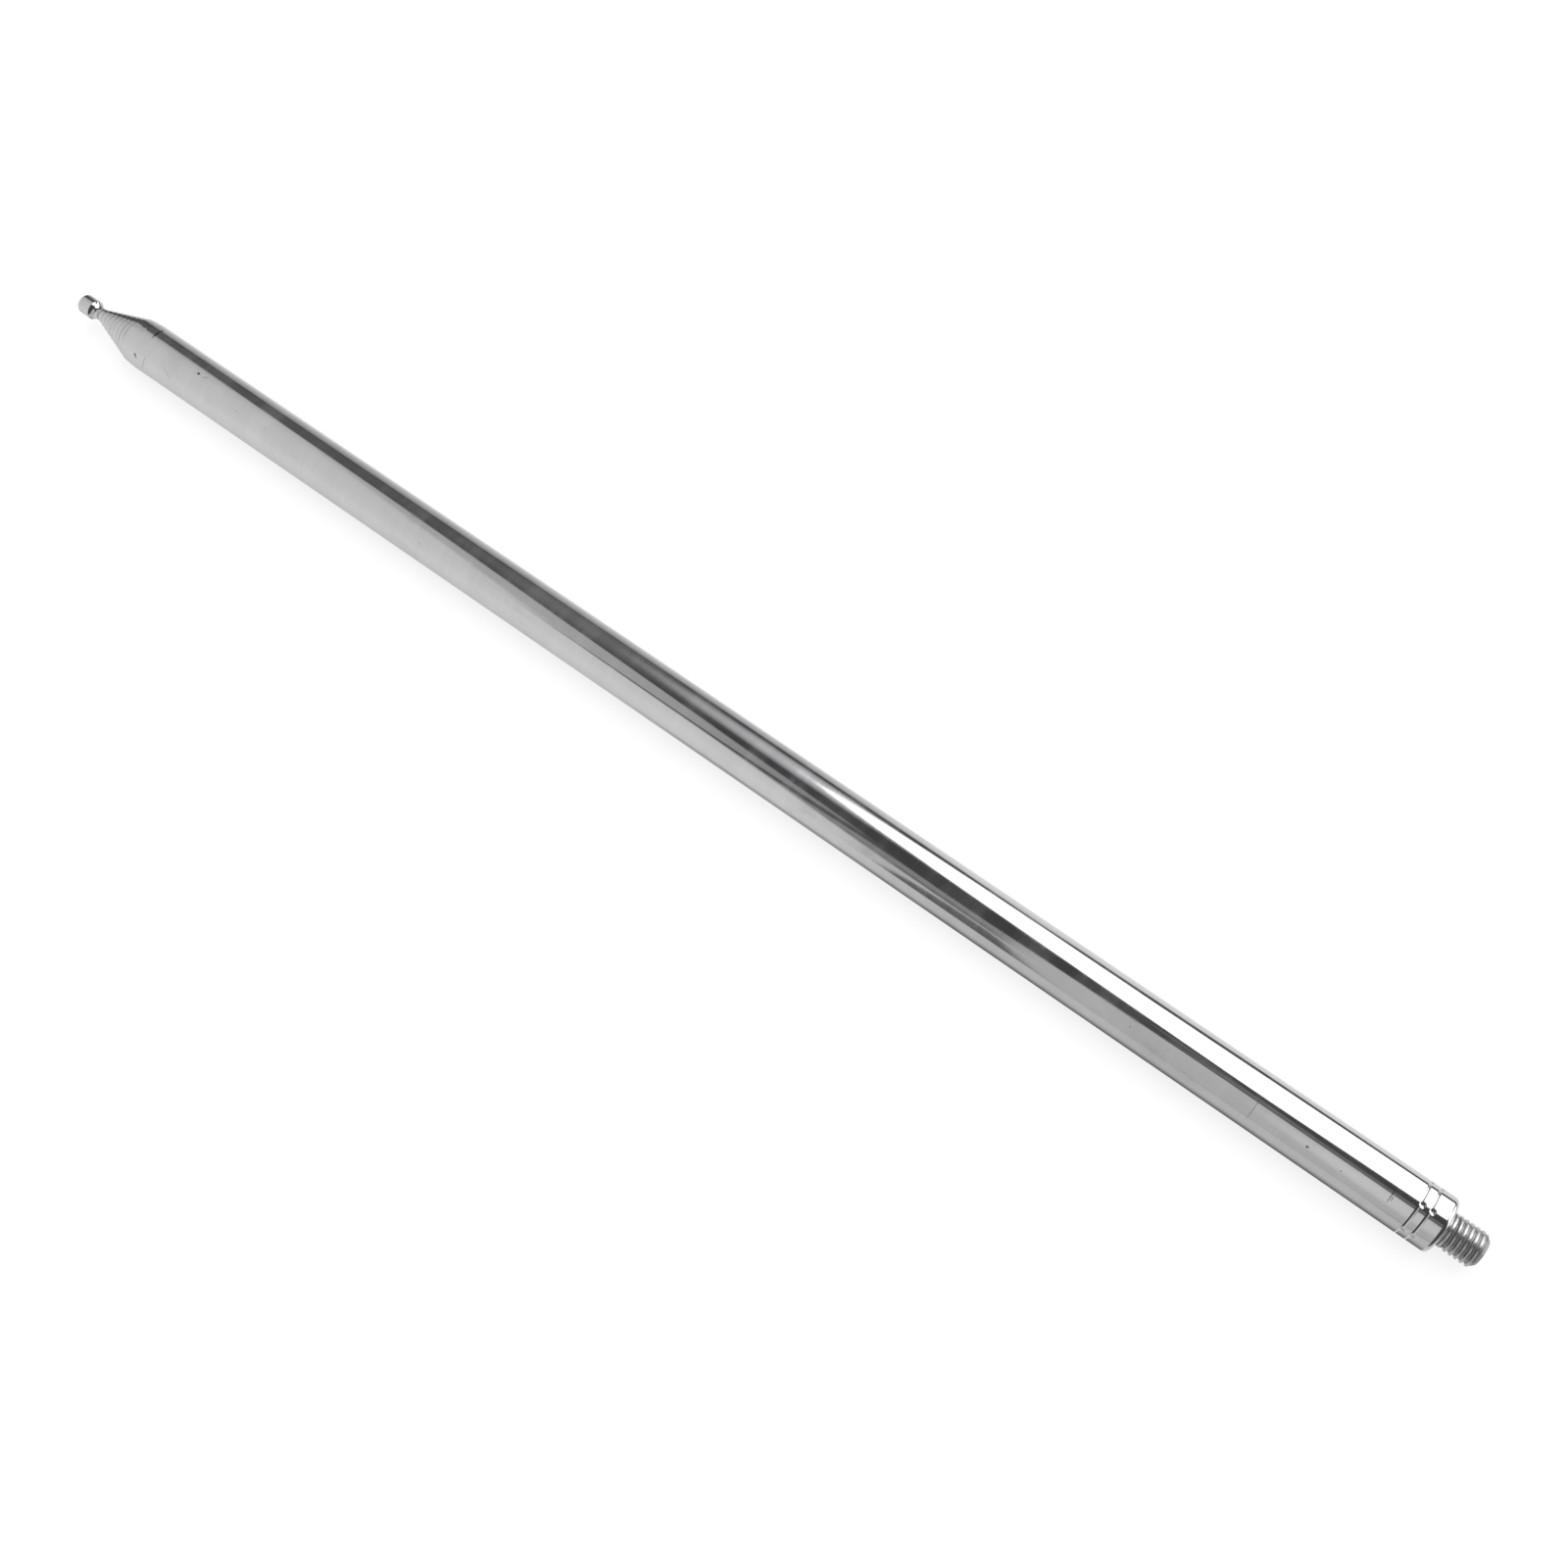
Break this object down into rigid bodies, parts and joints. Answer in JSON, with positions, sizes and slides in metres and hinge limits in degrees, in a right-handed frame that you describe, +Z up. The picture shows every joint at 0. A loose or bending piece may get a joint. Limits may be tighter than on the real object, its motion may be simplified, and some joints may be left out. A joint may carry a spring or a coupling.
{
  "type": "telescopic antenna",
  "caption": "Telescopic rod antenna: nested polished steel tubes that draw out of one another, a button on the tip rod and a threaded stud at the base.",
  "frame": {"origin": "on the antenna's axis, in the seat plane where the body's end meets what the stud screws into", "axes": "+X along the stud, away from the tip; the tip points along -X; +Z up with the antenna lying level"},
  "size_m": [0.4988, 0.016, 0.016],
  "materials": {
    "body_tube": "mirror-polished stainless steel, drawn lengthwise, with fine hairlines",
    "section_tube": "mirror-polished stainless steel tube",
    "top_rod": "mirror-polished stainless steel rod",
    "tip_cap": "turned and plated bright",
    "turned_stud": "turned steel with a cut thread",
    "stop_bush": "turned brass",
    "contact_spring": "rolled phosphor bronze leaf"
  },
  "bodies": {
    "base": {"outer_tube": "body_tube", "base_plug": "turned_stud"},
    "carrier_2": {"contact_spring_2": "contact_spring"},
    "section_2": {"section_tube_2": "section_tube", "stop_bush_2": "stop_bush"},
    "carrier_3": {"contact_spring_3": "contact_spring"},
    "section_3": {"section_tube_3": "section_tube", "stop_bush_3": "stop_bush"},
    "carrier_4": {"contact_spring_4": "contact_spring"},
    "section_4": {"section_tube_4": "section_tube", "stop_bush_4": "stop_bush"},
    "carrier_5": {"contact_spring_5": "contact_spring"},
    "section_5": {"section_tube_5": "section_tube", "stop_bush_5": "stop_bush"},
    "carrier_6": {"contact_spring_6": "contact_spring"},
    "section_6": {"section_tube_6": "section_tube", "stop_bush_6": "stop_bush"},
    "carrier_7": {"contact_spring_7": "contact_spring"},
    "section_7": {"section_tube_7": "section_tube", "stop_bush_7": "stop_bush"},
    "carrier_8": {"contact_spring_8": "contact_spring"},
    "section_8": {"section_tube_8": "section_tube", "stop_bush_8": "stop_bush"},
    "carrier_9": {"contact_spring_9": "contact_spring"},
    "section_9": {"section_tube_9": "section_tube", "stop_bush_9": "stop_bush"},
    "carrier_10": {"contact_spring_10": "contact_spring"},
    "section_10": {"top_rod": "top_rod", "stop_bush_10": "stop_bush", "tip_cap": "tip_cap"}
  },
  "joints": [
    {"name": "section_2_slide", "type": "slide", "parent": "base", "child": "carrier_2", "axis": [-1, 0, 0], "range_m": [0, 0.4343]},
    {"name": "section_2_turn", "type": "hinge", "parent": "carrier_2", "child": "section_2", "pos_m": [-0.0123, 0, 0], "axis": [-1, 0, 0], "continuous": true},
    {"name": "section_3_slide", "type": "slide", "parent": "section_2", "child": "carrier_3", "axis": [-1, 0, 0], "range_m": [0, 0.4374]},
    {"name": "section_3_turn", "type": "hinge", "parent": "carrier_3", "child": "section_3", "pos_m": [-0.0123, 0, 0], "axis": [-1, 0, 0], "continuous": true},
    {"name": "section_4_slide", "type": "slide", "parent": "section_3", "child": "carrier_4", "axis": [-1, 0, 0], "range_m": [0, 0.4395]},
    {"name": "section_4_turn", "type": "hinge", "parent": "carrier_4", "child": "section_4", "pos_m": [-0.0123, 0, 0], "axis": [-1, 0, 0], "continuous": true},
    {"name": "section_5_slide", "type": "slide", "parent": "section_4", "child": "carrier_5", "axis": [-1, 0, 0], "range_m": [0, 0.4416]},
    {"name": "section_5_turn", "type": "hinge", "parent": "carrier_5", "child": "section_5", "pos_m": [-0.0123, 0, 0], "axis": [-1, 0, 0], "continuous": true},
    {"name": "section_6_slide", "type": "slide", "parent": "section_5", "child": "carrier_6", "axis": [-1, 0, 0], "range_m": [0, 0.4437]},
    {"name": "section_6_turn", "type": "hinge", "parent": "carrier_6", "child": "section_6", "pos_m": [-0.0123, 0, 0], "axis": [-1, 0, 0], "continuous": true},
    {"name": "section_7_slide", "type": "slide", "parent": "section_6", "child": "carrier_7", "axis": [-1, 0, 0], "range_m": [0, 0.4458]},
    {"name": "section_7_turn", "type": "hinge", "parent": "carrier_7", "child": "section_7", "pos_m": [-0.0123, 0, 0], "axis": [-1, 0, 0], "continuous": true},
    {"name": "section_8_slide", "type": "slide", "parent": "section_7", "child": "carrier_8", "axis": [-1, 0, 0], "range_m": [0, 0.4479]},
    {"name": "section_8_turn", "type": "hinge", "parent": "carrier_8", "child": "section_8", "pos_m": [-0.0123, 0, 0], "axis": [-1, 0, 0], "continuous": true},
    {"name": "section_9_slide", "type": "slide", "parent": "section_8", "child": "carrier_9", "axis": [-1, 0, 0], "range_m": [0, 0.45]},
    {"name": "section_9_turn", "type": "hinge", "parent": "carrier_9", "child": "section_9", "pos_m": [-0.0123, 0, 0], "axis": [-1, 0, 0], "continuous": true},
    {"name": "section_10_slide", "type": "slide", "parent": "section_9", "child": "carrier_10", "axis": [-1, 0, 0], "range_m": [0, 0.4521]},
    {"name": "section_10_turn", "type": "hinge", "parent": "carrier_10", "child": "section_10", "pos_m": [-0.0123, 0, 0], "axis": [-1, 0, 0], "continuous": true}
  ]
}
